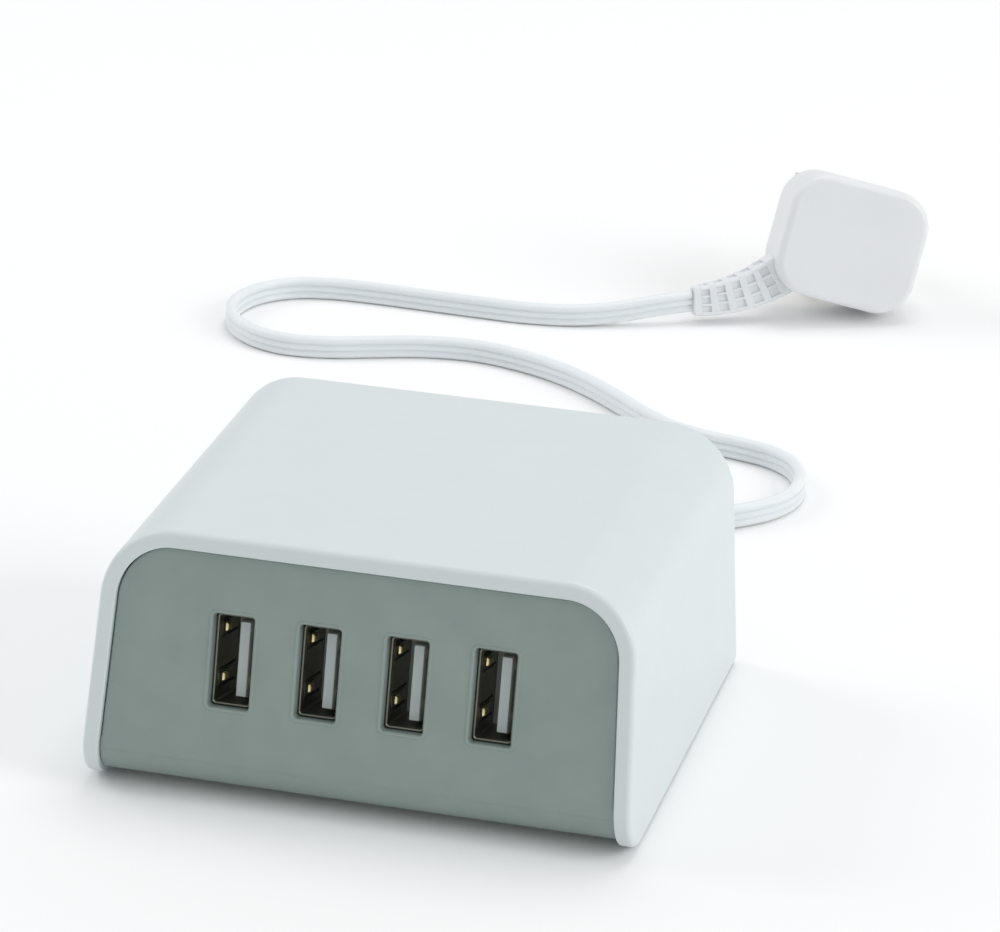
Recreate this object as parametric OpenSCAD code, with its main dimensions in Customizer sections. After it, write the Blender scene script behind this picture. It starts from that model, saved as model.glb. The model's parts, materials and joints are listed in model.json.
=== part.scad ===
// Desktop four-port USB charger: an arched white case with a leaning grey front panel,
// a power supply inside, and a flat mains lead with a low angled plug.
// X runs to the right, Y to the rear and Z up. The case is centred on the origin in plan,
// and the feet stand on Z = 0.

/* [Case] */
// Width of the case at the bottom
body_w = 80.6; // [78:0.2:100]
// Depth of the case
body_d = 68.4; // [66:0.2:90]
// Height of the case from the lower ends of its walls
body_h = 37.6; // [36:0.2:44]
// How far each side wall leans inwards, in degrees
side_lean = 3; // [0:1:5]
// How far the front leans back, in degrees
front_lean = 14; // [8:1:16]
// Outside radius of the two top corners
corner_r = 10.5; // [6:0.5:14]
// Radius of the lower front edge, where the front rolls under
roll_r = 6.2; // [5:0.2:6.4]
// Thickness of the case walls, which is the width of the white rim
wall = 2.4; // [1.8:0.2:2.6]
// Height of the rubber feet
foot_h = 1; // [0.8:0.1:2]
// Gap between the case walls and the table
wall_gap = 0.4; // [0.2:0.1:0.6]

/* [Front panel] */
// Depth of the panel behind the rim
panel_recess = 0.8; // [0.4:0.1:1.2]
// Thickness of the panel
panel_t = 2.2; // [1.6:0.2:2.6]

/* [USB ports] */
// Distance between neighbouring ports
port_pitch = 12.7; // [11:0.1:14]
// Height of the port centres up the slope of the front
port_height = 21.1; // [19.6:0.5:22.6]
// Free play around a receptacle in its slot
port_gap = 0.15; // [0.1:0.05:0.3]

/* [Mains lead] */
// Width of the flat lead
cord_w = 4; // [3.6:0.2:6]
// Thickness of the flat lead
cord_t = 2; // [1.8:0.1:3]

/* [Plug] */
// Width of the plug
plug_w = 26; // [24:1:38]
// Height of the plug
plug_h = 22.4; // [22:0.4:32]
// Corner radius of the plug
plug_r = 6.5; // [5:0.5:8]
// Thickness of each half of the plug
plug_half_t = 6; // [5.5:0.5:7]
// Roll of the plug onto its lower right corner, in degrees
plug_roll = 16.5; // [15.5:0.5:17]
// Lean of the plug back onto its ground pin, in degrees
plug_lean = 13; // [10:0.5:13]
// Turn of the plug on the table, in degrees
plug_turn = 25; // [0:5:60]

/* [Hidden] */
$fn = 48;

ports = [0, 1, 2, 3];
fit = 0.1;                       // clearance between case pieces
edge_r = 0.8;                    // round outer edge along the lower ends of the walls
half_w = body_w / 2;
rear_y = body_d / 2;
roll_y = roll_r - body_d / 2;    // middle of the rolled lower front edge
front_y = roll_y - roll_r * (tan(front_lean) + 1 / cos(front_lean));   // foot of the flat front face

// Base, board and screw places
base_t = 2;
base_top = foot_h + base_t;
panel_end_y = roll_y + 1.5;       // rear end of the panel's rolled edge
base_front_y = panel_end_y + fit;
standoff_h = 3.6;
board_t = 1.6;
pcb_w = 54;
pcb_front_y = -8.5;
pcb_rear_y = 27.5;
pcb_z = base_top + standoff_h;
pcb_top = pcb_z + board_t;
case_screw_at = [[-31, -13], [31, -13], [-31, 28], [31, 28]];
pcb_screw_at = [[-23.5, -5], [23.5, -5], [-23.5, 24], [23.5, 24]];
foot_at = [[-30, -20.6], [30, -20.6], [-30, 20.4], [30, 20.4]];
boss_d = 6.4;
pilot_d = 2.4;
screw_d = 2.9;
head_d = 5.4;
head_t = 1.2;
screw_l = 12;
foot_d = 8;

// USB-A receptacle
usb_in = [5.12, 12.5];           // opening, across and up
usb_wall = 0.3;
usb_out = usb_in + 2 * [usb_wall, usb_wall];
usb_l = 14;
usb_front = panel_recess + 1.5;  // the mouth is set back in the panel's slot
usb_rear = usb_front + usb_l;
tongue = [1.84, 11.1];
tongue_recess = 1.4;
tongue_side_gap = 0.7;
tongue_x = usb_in[0] / 2 - tongue_side_gap - tongue[0];
insulator_t = 3.7;
contact = [0.2, 1, 6.2];         // thickness, width, length
contact_at = [-3.5, -1, 1, 3.5];
usb_board = [54, 26];
usb_board_low = 8.6;

// Lead: it leaves the rear wall, curves round behind the case and ends at the plug
cord_z = cord_w / 2;
bush_at = [17, rear_y, 7.5];
bush_tip = [17, 59, 4.4];
bush_d = 9;
bush_tip_d = 5.6;
bush_neck_d = 6.4;
bush_flange_t = 1.8;
relief_tip = [2, 170];           // in plan, where the lead enters the plug's strain relief
cord_route = [
    bush_tip, [17, 65, 3.5], [17.8, 71, 2.4], [20.5, 76.5, 2.05],
    [25, 80.3, cord_z], [30, 83.5, cord_z], [34.3, 88, cord_z], [36.6, 93.6, cord_z],
    [36.4, 99.8, cord_z], [33.8, 105.2, cord_z], [29, 108.8, cord_z], [23.2, 110.6, cord_z],
    [17, 112, cord_z], [11, 114.6, cord_z], [5.4, 118.8, cord_z], [0, 123.8, cord_z],
    [-6, 129, cord_z], [-13, 133.8, cord_z], [-21, 137.4, cord_z], [-29.8, 139.4, cord_z],
    [-38.8, 138.6, cord_z], [-47.4, 135.8, cord_z], [-55.6, 133, cord_z], [-63.6, 132.4, cord_z],
    [-70.6, 135.2, cord_z], [-75.4, 140.6, cord_z], [-77, 147.4, cord_z], [-75, 154, cord_z],
    [-69.8, 158.8, cord_z], [-62.8, 160.8, cord_z], [-54, 161, cord_z], [-45, 160.6, cord_z],
    [-36, 160.2, cord_z], [-27, 160, cord_z], [-18.4, 161.2, 2.05], [-10.8, 163.9, 2.5],
    [-4.2, 167, 3.4]
];
cord_steps = 2;                  // rings from each route point to the next

// Plug, in its own frame: the cover faces -Y, the pins point to +Y
blade = [1.52, 16, 6.35];
blade_gap = 12.7;
blade_z = 5.55;
ground_drop = 11.9;
ground_d = 4.75;
ground_l = 18.6;
ground_tip = 1.5;                // length of its tapered end
plug_edge = 0.8;                 // soft edge around the cover's face
body_inset = 0.2;                // the inner half is a little smaller than the cover
body_edge_l = 1;                 // length of the inner half's stepped end
relief_l = 16;
relief_root = [5.4, 7.4];        // section at the plug, across and up
relief_end = [3.4, 5.2];         // section at the tip
relief_start = [-plug_w / 2 + plug_r * (1 - cos(45)), -plug_h / 2 + plug_r * (1 - sin(45))];
relief_turn = 45 - plug_roll;    // the relief bends until it lies level
relief_bend_r = relief_l / (relief_turn * PI / 180);
relief_sink = 3;                 // length of the relief that is bedded in the plug
relief_steps = 6;

// ---------- functions ----------

// A point on the smooth curve through four route points, t of the way from b to c
function curve_point(a, b, c, d, t) =
    0.5 * (2 * b + (c - a) * t + (2 * a - 5 * b + 4 * c - d) * t * t
           + (3 * b - a - 3 * c + d) * t * t * t);

function at(points, i) =
    i < 0 ? 2 * points[0] - points[1]
    : i >= len(points) ? 2 * points[len(points) - 1] - points[len(points) - 2]
    : points[i];

function smooth(points, steps) = concat(
    [for (i = [0 : len(points) - 2], k = [0 : steps - 1])
        curve_point(at(points, i - 1), points[i], points[i + 1], at(points, i + 2), k / steps)],
    [points[len(points) - 1]]);

// Points round an arc, from one angle to another
function arc(centre, r, from, to, steps) =
    [for (k = [0 : steps]) let (a = from + (to - from) * k / steps) centre + r * [cos(a), sin(a)]];

function reverse(points) = [for (i = [len(points) - 1 : -1 : 0]) points[i]];
function unit(v) = v / norm(v);
function heading(points, i) = unit(points[min(i + 1, len(points) - 1)] - points[max(i - 1, 0)]);

// One ring of a swept tube. size is its thickness and its height, and its height lies along up
// as nearly as the tube's own direction lets it
function ring(points, i, size, sides, up_dir) =
    let (dir = heading(points, i), across = unit(cross(dir, up_dir)), up = cross(across, dir))
    [for (k = [0 : sides - 1])
        let (a = 360 * (k + 0.5) / sides, r = 1 / cos(180 / sides))
        points[i] + r * (across * size[0] / 2 * cos(a) + up * size[1] / 2 * sin(a))];

// ---------- shared shapes ----------

// Closed tube through the points, with flat ends
module sweep(points, sizes, sides = 8, up_dir = [0, 0, 1]) {
    n = len(points);
    polyhedron(
        points = [for (i = [0 : n - 1]) each ring(points, i, sizes[i], sides, up_dir)],
        faces = concat(
            [[for (k = [0 : sides - 1]) k]],
            [[for (k = [sides - 1 : -1 : 0]) (n - 1) * sides + k]],
            [for (i = [0 : n - 2], k = [0 : sides - 1])
                [i * sides + k, (i + 1) * sides + k,
                 (i + 1) * sides + (k + 1) % sides, i * sides + (k + 1) % sides]]));
}

// Round wire whose route stays near the YZ plane
module wire(points, d) {
    line = smooth(points, 3);
    sweep(line, [for (p = line) [d, d]], up_dir = [1, 0, 0]);
}

// Outline of the case seen from the front, drawn in by inset, with the case's underside at 0
module arch(inset = 0) {
    r = corner_r - inset;
    centre_z = body_h - corner_r;
    centre_x = half_w - centre_z * tan(side_lean) - corner_r / cos(side_lean);
    bottom_x = half_w - inset / cos(side_lean);
    side = [centre_x + r * cos(side_lean), centre_z + r * sin(side_lean)];
    polygon([[-bottom_x, 0], [bottom_x, 0], side, [centre_x, centre_z + r],
             [-centre_x, centre_z + r], [-side[0], side[1]]]);
    for (s = [-1, 1]) translate([s * centre_x, centre_z]) circle(r);
}

// What is cut from the lower end of a side wall to make its outer edge round
module wall_end() {
    translate([half_w, 0]) rotate(side_lean) polygon(concat(
        [[1, -1], [1, edge_r]], arc([-edge_r, edge_r], edge_r, 0, -90, 5), [[-edge_r, -1]]));
}

// Side view of the front, moved inwards by inset: up round its rolled lower edge and its flat face
function front_line(inset = 0) =
    let (top = body_h + 1)
    concat(arc([roll_y, roll_r], roll_r - inset, 270, 180 - front_lean, 20),
           [[front_y + top * tan(front_lean) + inset / cos(front_lean), top]]);

// Extrudes an outline drawn in X and Z from y0 to y1, standing at the lower ends of the walls
module along_y(y0, y1) {
    translate([0, y1, wall_gap]) rotate([90, 0, 0]) linear_extrude(y1 - y0) children();
}

// Extrudes an outline drawn in Y and Z across the whole case
module across_x() {
    translate([-half_w - 1, 0, wall_gap]) rotate([90, 0, 90]) linear_extrude(body_w + 2) children();
}

// The frame of the leaning front: X across, Y inwards, Z up the slope
module on_front() {
    translate([0, front_y, wall_gap]) rotate([-front_lean, 0, 0]) children();
}

module at_port(i) {
    on_front() translate([(i - (len(ports) - 1) / 2) * port_pitch, 0, port_height]) children();
}

module on_board(x, y) {
    translate([x, y, pcb_top]) children();
}

// A block that is centred in plan and stands on Z = 0
module block(size) {
    translate([-size[0] / 2, -size[1] / 2, 0]) cube(size);
}

module tube(outer_d, inner_d, h) {
    difference() {
        cylinder(d = outer_d, h = h);
        translate([0, 0, -1]) cylinder(d = inner_d, h = h + 2);
    }
}

// A small black chip with a row of pins down each long side
module chip(size, pins, pitch) {
    block(size);
    for (s = [-1, 1], k = [0 : pins - 1])
        translate([s * (size[0] / 2 + 0.4), (k - (pins - 1) / 2) * pitch, 0]) block([0.8, 0.4, 0.5]);
}

// ---------- case ----------

// The case's arch with its lower edges rounded, from y0 to the rear
module arch_walls(y0, hollow) {
    along_y(y0, rear_y) difference() {
        arch();
        if (hollow) arch(wall);
        wall_end();
        mirror([1, 0]) wall_end();
    }
}

module top_shell() {
    color([0.88, 0.9, 0.9]) difference() {
        union() {
            difference() {
                arch_walls(front_y - 1, true);
                across_x() polygon(concat(
                    front_line(), [[-body_d, body_h + 1], [-body_d, -1], [roll_y, -1]]));
            }
            arch_walls(rear_y - wall, false);
            for (p = case_screw_at) intersection() {
                translate([p[0], p[1], base_top + fit]) cylinder(d = boss_d, h = body_h);
                along_y(front_y, rear_y) arch(wall / 2);
            }
        }
        for (p = case_screw_at)
            translate([p[0], p[1], base_top]) cylinder(d = pilot_d, h = screw_l);
        translate([bush_at[0], rear_y - wall - 1, bush_at[2]])
            rotate([-90, 0, 0]) cylinder(d = bush_neck_d, h = wall + 2);
    }
}

// Flat face that rolls under at the bottom and ends in front of the base plate
module front_panel() {
    color([0.49, 0.54, 0.52]) difference() {
        intersection() {
            along_y(front_y, rear_y - wall) arch(wall + fit);
            across_x() polygon(concat(
                [[panel_end_y, panel_recess]], front_line(panel_recess),
                reverse(front_line(panel_recess + panel_t)), [[panel_end_y, panel_recess + panel_t]]));
        }
        for (i = ports) at_port(i)
            translate([-usb_out[0] / 2 - port_gap, -1, -usb_out[1] / 2 - port_gap])
                cube([usb_out[0] + 2 * port_gap, usb_l, usb_out[1] + 2 * port_gap]);
    }
}

module base_plate() {
    color([0.86, 0.88, 0.88]) difference() {
        union() {
            intersection() {
                along_y(base_front_y, rear_y - wall - fit) arch(wall + fit);
                translate([-half_w, front_y, foot_h]) cube([body_w, body_d, base_t]);
            }
            for (p = pcb_screw_at)
                translate([p[0], p[1], base_top]) cylinder(d = 5, h = standoff_h);
        }
        for (p = case_screw_at) translate([p[0], p[1], foot_h - 1]) {
            cylinder(d = screw_d + 0.3, h = base_t + 2);
            cylinder(d = head_d + 0.4, h = head_t + 1.1);
        }
        for (p = pcb_screw_at)
            translate([p[0], p[1], foot_h + 0.6]) cylinder(d = pilot_d, h = standoff_h + base_t);
    }
}

module rubber_feet() {
    color([0.25, 0.25, 0.26]) for (p = foot_at)
        translate([p[0], p[1], 0]) {
            cylinder(d1 = foot_d - 0.8, d2 = foot_d, h = 0.4);
            translate([0, 0, 0.4]) cylinder(d = foot_d, h = foot_h - 0.4);
        }
}

// A pan-head screw that points up, with the underside of its head at 0
module screw(length, d, head, head_h) {
    translate([0, 0, -head_h]) difference() {
        cylinder(d = head, h = head_h);
        for (a = [0, 90]) rotate([0, 0, a]) translate([-head * 0.3, -0.3, -0.1])
            cube([head * 0.6, 0.6, head_h * 0.6]);
    }
    cylinder(d = d, h = length);
}

module case_screws() {
    color([0.6, 0.6, 0.62]) for (p = case_screw_at)
        translate([p[0], p[1], foot_h + head_t + 0.1]) screw(screw_l - 2, pilot_d, head_d, head_t);
}

// ---------- boards ----------

module main_pcb() {
    color([0.15, 0.36, 0.2]) difference() {
        translate([-pcb_w / 2, pcb_front_y, pcb_z])
            cube([pcb_w, pcb_rear_y - pcb_front_y, board_t]);
        for (p = pcb_screw_at) translate([p[0], p[1], pcb_z - 1]) cylinder(d = 2.8, h = board_t + 2);
        // Slot that keeps the mains side apart from the low-voltage side
        translate([-16, -1, pcb_z - 1]) cube([32, 1, board_t + 2]);
    }
}

module pcb_screws() {
    color([0.7, 0.7, 0.72]) for (p = pcb_screw_at)
        translate([p[0], p[1], pcb_top]) rotate([180, 0, 0]) screw(5, pilot_d, 4.6, 1.4);
}

module insulation_sheet() {
    color([0.85, 0.82, 0.6]) difference() {
        translate([-25, pcb_front_y + 1.5, base_top + 0.1]) cube([50, 32.5, 0.3]);
        for (p = pcb_screw_at) translate([p[0], p[1], base_top - 1]) cylinder(d = 5.6, h = 3);
    }
}

module usb_pcb() {
    color([0.15, 0.36, 0.2]) on_front()
        translate([-usb_board[0] / 2, usb_rear, usb_board_low])
            cube([usb_board[0], board_t, usb_board[1]]);
}

module dc_harness() {
    usb_board_y = front_y + usb_rear + board_t + 3.2;
    for (s = [-1, 1], x = port_pitch - 1 + s * 1.6)
        color(s < 0 ? [0.1, 0.1, 0.1] : [0.75, 0.1, 0.1])
            wire([[x, usb_board_y + 1.4, 13], [x, usb_board_y + 3.5, 13.5],
                  [x, usb_board_y + 6.5, 12.2], [x, usb_board_y + 7.4, pcb_top]], 1.6);
}

// ---------- USB ports ----------

module usb_shell(i) {
    color([0.3, 0.3, 0.28]) at_port(i) translate([0, usb_front, 0]) difference() {
        translate([-usb_out[0] / 2, 0, -usb_out[1] / 2]) cube([usb_out[0], usb_l, usb_out[1]]);
        translate([-usb_in[0] / 2, -1, -usb_in[1] / 2])
            cube([usb_in[0], usb_l - usb_wall + 1, usb_in[1]]);
        // Slots that free two spring fingers in each wide wall
        for (s = [-1, 1], z = [-3.4, 3.4], e = [-1, 1])
            translate([s * usb_out[0] / 2 - 0.5, 2.2, z + e * 1.4 - 0.15]) cube([1, 5, 0.3]);
    }
}

// The insulator: a block at the back of the receptacle and the tongue in front of it
module usb_tongue(i) {
    block_front = usb_rear - usb_wall - insulator_t;
    tip = usb_front + tongue_recess;
    color([0.72, 0.76, 0.75]) at_port(i) {
        translate([-usb_in[0] / 2 + 0.05, block_front, -usb_in[1] / 2 + 0.05])
            cube([usb_in[0] - 0.1, insulator_t, usb_in[1] - 0.1]);
        translate([tongue_x, tip, -tongue[1] / 2]) cube([tongue[0], block_front - tip, tongue[1]]);
    }
}

module usb_contacts(i) {
    block_front = usb_rear - usb_wall - insulator_t;
    color([0.85, 0.68, 0.3]) at_port(i) for (z = contact_at)
        translate([tongue_x - contact[0], block_front - contact[2], z - contact[1] / 2])
            cube([contact[0], contact[2], contact[1]]);
}

module usb_controllers() {
    color([0.12, 0.12, 0.12]) for (i = ports)
        at_port(i) translate([0, usb_rear + board_t, 3]) rotate([-90, 0, 0]) chip([4, 5, 1.5], 4, 1.27);
}

// ---------- power supply ----------

core = [25, 8, 21];
core_leg = 3.6;
winding_d = 17;
transformer_at = [-1.5, 9];

module transformer_core() {
    color([0.28, 0.28, 0.3]) on_board(transformer_at[0], transformer_at[1]) {
        difference() {
            block(core);
            translate([0, 0, core_leg]) block([core[0] - 2 * core_leg, core[1] + 2, core[2] - 2 * core_leg]);
        }
        translate([0, 0, core_leg]) cylinder(d = core[1], h = core[2] - 2 * core_leg);
    }
}

module transformer_winding() {
    color([0.9, 0.75, 0.2]) on_board(transformer_at[0], transformer_at[1])
        translate([0, 0, core_leg + 0.2]) tube(winding_d, core[1] + 0.4, core[2] - 2 * core_leg - 0.4);
}

module bulk_capacitor() {
    color([0.12, 0.14, 0.2]) on_board(-19.5, 16.5) cylinder(d = 12, h = 22);
}

module output_capacitors() {
    color([0.1, 0.3, 0.25]) for (x = [-16.8, -8.8]) on_board(x, -5) cylinder(d = 6.5, h = 12);
}

module bridge_rectifier() {
    color([0.14, 0.14, 0.14]) on_board(-9, 22) block([8.4, 6.4, 3.3]);
}

module fuse() {
    color([0.35, 0.2, 0.12]) on_board(21.5, 18) cylinder(d = 7, h = 7.6);
}

module varistor() {
    color([0.15, 0.3, 0.6]) on_board(-0.4, 22.5) translate([0, -1.8, 5.6])
        rotate([-90, 0, 0]) cylinder(d = 8, h = 3.6);
    color([0.7, 0.7, 0.7]) for (s = [-1, 1]) on_board(-0.4 + s * 2, 22.5) cylinder(d = 0.7, h = 2.5);
}

module x_capacitor() {
    color([0.85, 0.75, 0.25]) on_board(9.6, 23.2) block([11.4, 6, 11.5]);
}

module y_capacitor() {
    color([0.2, 0.4, 0.7]) on_board(10.5, -2) translate([0, -1.7, 5])
        rotate([-90, 0, 0]) cylinder(d = 7.6, h = 3.4);
    color([0.7, 0.7, 0.7]) for (s = [-1, 1]) on_board(10.5 + s * 2.2, -2) cylinder(d = 0.7, h = 2.5);
}

choke_at = [19.5, 7.5];
choke_d = [12, 6];
choke_h = 5;

module choke_core() {
    color([0.3, 0.45, 0.3]) on_board(choke_at[0], choke_at[1]) tube(choke_d[0], choke_d[1], choke_h);
}

// Copper turns: short loops of wire around each side of the ring
module choke_windings() {
    mid_r = (choke_d[0] + choke_d[1]) / 4;
    reach = (choke_d[0] - choke_d[1]) / 4 + 0.5;
    color([0.75, 0.42, 0.2]) on_board(choke_at[0], choke_at[1])
        for (s = [0, 180], a = [-40 : 20 : 40]) rotate([0, 0, s + a])
            translate([mid_r, 0, choke_h / 2]) difference() {
                cube([2 * reach + 0.8, 0.9, choke_h + 1.6], center = true);
                cube([2 * reach - 0.8, 2, choke_h + 0.1], center = true);
            }
}

module primary_heat_sink() {
    color([0.7, 0.72, 0.74]) on_board(-25, 4) block([1.6, 12, 18]);
}

module switching_transistor() {
    color([0.13, 0.13, 0.13]) on_board(-22.6, 6) translate([0, 0, 4]) block([3, 6, 9]);
}

module secondary_heat_sink() {
    color([0.7, 0.72, 0.74]) on_board(2, -6.6) block([12, 1.6, 14]);
}

module output_rectifier() {
    color([0.13, 0.13, 0.13]) on_board(2, -4.3) translate([0, 0, 2]) block([9, 2.8, 9]);
}

module control_ic() {
    color([0.12, 0.12, 0.12]) on_board(-17.5, 3) chip([2.4, 4.6, 1.5], 3, 1.27);
}

module optocoupler() {
    color([0.92, 0.92, 0.9]) on_board(17.6, -4) chip([4.4, 4.6, 3], 2, 2.54);
}

// ---------- mains lead ----------

// Three leads arch over from the bushing to their pads near the rear edge of the board
module mains_leads() {
    inner = [bush_at[0], rear_y - wall - bush_flange_t, bush_at[2]];
    for (k = [-1, 0, 1])
        color(k < 0 ? [0.1, 0.1, 0.1] : k > 0 ? [0.9, 0.9, 0.9] : [0.1, 0.5, 0.2])
            wire([inner + [k * 1.5, 0, 0], inner + [k * 1.5, -1.2, 1],
                  inner + [k * 1.6 + 0.5, -3, 4], inner + [k * 1.6 + 1, -5.2, 4.2],
                  [inner[0] + k * 1.6 + 1, inner[1] - 6.6, pcb_top]], 1.3);
}

// Flange inside the wall, neck through the hole, and a long soft taper outside
module cord_bushing() {
    tilt = atan2(bush_at[2] - bush_tip[2], bush_tip[1] - bush_at[1]);
    color([0.85, 0.87, 0.88]) {
        translate([bush_at[0], rear_y - wall - bush_flange_t, bush_at[2]]) rotate([-90, 0, 0]) {
            cylinder(d = bush_d - 0.4, h = bush_flange_t);
            cylinder(d = bush_neck_d, h = bush_flange_t + wall + 1);
        }
        difference() {
            translate(bush_at) rotate([-90 - tilt, 0, 0]) translate([0, 0, -1])
                cylinder(d1 = bush_d, d2 = bush_tip_d, h = norm(bush_tip - bush_at) + 1);
            translate([bush_at[0] - bush_d, rear_y - bush_d, 0]) cube([2 * bush_d, bush_d, 2 * bush_d]);
        }
    }
}

module power_cord() {
    line = smooth(concat(cord_route, [relief_mouth]), cord_steps);
    color([0.87, 0.89, 0.9]) sweep(line, [for (p = line) [cord_t, cord_w]]);
}

// ---------- plug ----------

// Line of the strain relief in the plug's own X and Z: it bends from the corner until it is level
function relief_point(k) =
    let (a = 315 - relief_turn * k)
    relief_start + relief_bend_r * [cos(a) - cos(315), sin(a) - sin(315)];

// From the plug's own frame to the plug as it stands, still above the origin
function rolled(p) = [p[0] * cos(plug_roll) + p[2] * sin(plug_roll), p[1],
                      -p[0] * sin(plug_roll) + p[2] * cos(plug_roll)];
function leaned(p) = [p[0], p[1] * cos(plug_lean) + p[2] * sin(plug_lean),
                      -p[1] * sin(plug_lean) + p[2] * cos(plug_lean)];
function turned(p) = [p[0] * cos(plug_turn) - p[1] * sin(plug_turn),
                      p[0] * sin(plug_turn) + p[1] * cos(plug_turn), p[2]];
function posed(p) = turned(leaned(rolled(p)));

// The plug stands on the lower right corner of its inner half
corner_low = plug_r + (plug_w / 2 - plug_r) * sin(plug_roll) + (plug_h / 2 - plug_r) * cos(plug_roll);
plug_z = (corner_low - body_inset) * cos(plug_lean) + (2 * plug_half_t - body_edge_l) * sin(plug_lean);
relief_way = posed([relief_point(1)[0], plug_half_t, relief_point(1)[1]]);
plug_at = [relief_tip[0] - relief_way[0], relief_tip[1] - relief_way[1], plug_z];
relief_mouth = plug_at + relief_way;

module in_plug_frame() {
    translate(plug_at) rotate([0, 0, plug_turn]) rotate([-plug_lean, 0, 0]) rotate([0, plug_roll, 0])
        children();
}

// Rounded square, drawn in by inset and extruded from y0 to y1
module plug_slab(inset, y0, y1) {
    translate([0, y1, 0]) rotate([90, 0, 0]) linear_extrude(y1 - y0) hull()
        for (x = [-1, 1], z = [-1, 1])
            translate([x * (plug_w / 2 - plug_r), z * (plug_h / 2 - plug_r)])
                circle(plug_r - inset, $fn = 64);
}

// Pocket in the plug's corner for the straight root of the strain relief
module relief_pocket() {
    size = relief_root + [fit, fit];
    translate([relief_start[0], plug_half_t, relief_start[1]]) rotate([0, -45, 0])
        translate([-relief_root[1], -size[0] / 2, -size[1] / 2])
            cube([relief_root[1] + relief_sink, size[0], size[1]]);
}

module plug_cover() {
    color([0.85, 0.86, 0.87]) in_plug_frame() difference() {
        union() {
            plug_slab(plug_edge, 0, plug_edge);
            plug_slab(0, plug_edge, plug_half_t);
        }
        relief_pocket();
    }
}

module plug_body() {
    color([0.82, 0.83, 0.84]) in_plug_frame() difference() {
        union() {
            plug_slab(body_inset, plug_half_t, 2 * plug_half_t - body_edge_l);
            plug_slab(body_inset + 1, 2 * plug_half_t - body_edge_l, 2 * plug_half_t);
        }
        relief_pocket();
    }
}

module plug_strain_relief() {
    root = relief_start + relief_sink * [cos(45), sin(45)];
    line = concat([root], [for (k = [0 : relief_steps]) relief_point(k / relief_steps)]);
    sizes = concat([relief_root], [for (k = [0 : relief_steps])
        relief_root + (relief_end - relief_root) * k / relief_steps]);
    color([0.85, 0.87, 0.88]) in_plug_frame()
        sweep([for (p = line) [p[0], plug_half_t, p[1]]], sizes, sides = 4);
}

module plug_blades() {
    color([0.75, 0.72, 0.6]) in_plug_frame() for (s = [-1, 1])
        translate([s * blade_gap / 2 - blade[0] / 2, 2 * plug_half_t, blade_z - blade[2] / 2])
            difference() {
                cube(blade);
                translate([-1, blade[1] - 4, blade[2] / 2]) rotate([0, 90, 0]) cylinder(d = 3, h = 4);
            }
}

module ground_pin() {
    color([0.75, 0.72, 0.6]) in_plug_frame()
        translate([0, 2 * plug_half_t, blade_z - ground_drop]) rotate([-90, 0, 0]) {
            cylinder(d = ground_d, h = ground_l - ground_tip);
            translate([0, 0, ground_l - ground_tip])
                cylinder(d1 = ground_d, d2 = ground_d - ground_tip, h = ground_tip);
        }
}

top_shell();
front_panel();
base_plate();
rubber_feet();
case_screws();
main_pcb();
pcb_screws();
insulation_sheet();
usb_pcb();
usb_shell(0);  // usb_shell_1
usb_shell(1);  // usb_shell_2
usb_shell(2);  // usb_shell_3
usb_shell(3);  // usb_shell_4
usb_tongue(0);  // usb_tongue_1
usb_tongue(1);  // usb_tongue_2
usb_tongue(2);  // usb_tongue_3
usb_tongue(3);  // usb_tongue_4
usb_contacts(0);  // usb_contacts_1
usb_contacts(1);  // usb_contacts_2
usb_contacts(2);  // usb_contacts_3
usb_contacts(3);  // usb_contacts_4
usb_controllers();
dc_harness();
transformer_core();
transformer_winding();
bulk_capacitor();
output_capacitors();
bridge_rectifier();
fuse();
varistor();
x_capacitor();
y_capacitor();
choke_core();
choke_windings();
primary_heat_sink();
switching_transistor();
secondary_heat_sink();
output_rectifier();
control_ic();
optocoupler();
mains_leads();
cord_bushing();
power_cord();
plug_strain_relief();
plug_cover();
plug_body();
plug_blades();
ground_pin();
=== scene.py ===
"""Looks of a four-port desktop USB charger with its mains lead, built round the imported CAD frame.

Lengths are in metres. X runs to the right, Y to the rear and Z up, and the feet stand on Z = 0.
"""

import json
import math

import bmesh
import bpy
from mathutils import Matrix, Quaternion, Vector
from mathutils.geometry import tessellate_polygon


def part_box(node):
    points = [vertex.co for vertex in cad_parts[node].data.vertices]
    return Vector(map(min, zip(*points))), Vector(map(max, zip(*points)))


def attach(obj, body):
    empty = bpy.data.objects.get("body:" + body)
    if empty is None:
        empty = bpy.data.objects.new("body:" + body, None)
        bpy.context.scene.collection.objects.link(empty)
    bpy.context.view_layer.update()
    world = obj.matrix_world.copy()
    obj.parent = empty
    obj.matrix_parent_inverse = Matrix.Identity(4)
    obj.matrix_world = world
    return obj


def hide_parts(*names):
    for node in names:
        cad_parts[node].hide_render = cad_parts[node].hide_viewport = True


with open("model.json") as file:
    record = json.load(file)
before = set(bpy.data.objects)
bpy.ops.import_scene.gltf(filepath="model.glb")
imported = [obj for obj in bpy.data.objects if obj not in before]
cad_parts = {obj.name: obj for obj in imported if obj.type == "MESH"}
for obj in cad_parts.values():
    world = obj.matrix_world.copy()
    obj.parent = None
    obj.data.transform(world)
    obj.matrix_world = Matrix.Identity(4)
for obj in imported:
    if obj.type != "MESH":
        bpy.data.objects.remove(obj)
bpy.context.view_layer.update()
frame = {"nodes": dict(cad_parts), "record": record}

MM = 0.001

# Case, as the CAD part has it
SIDE_LEAN = math.radians(3)
FRONT_LEAN = math.radians(14)
CORNER_R = 10.5 * MM
ROLL_R = 6.2 * MM
WALL = 2.4 * MM
EDGE = 0.8 * MM
INNER_EDGE = 0.3 * MM
PANEL_GAP = 0.16 * MM
PANEL_RECESS = 0.8 * MM
PANEL_T = 2.2 * MM

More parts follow.
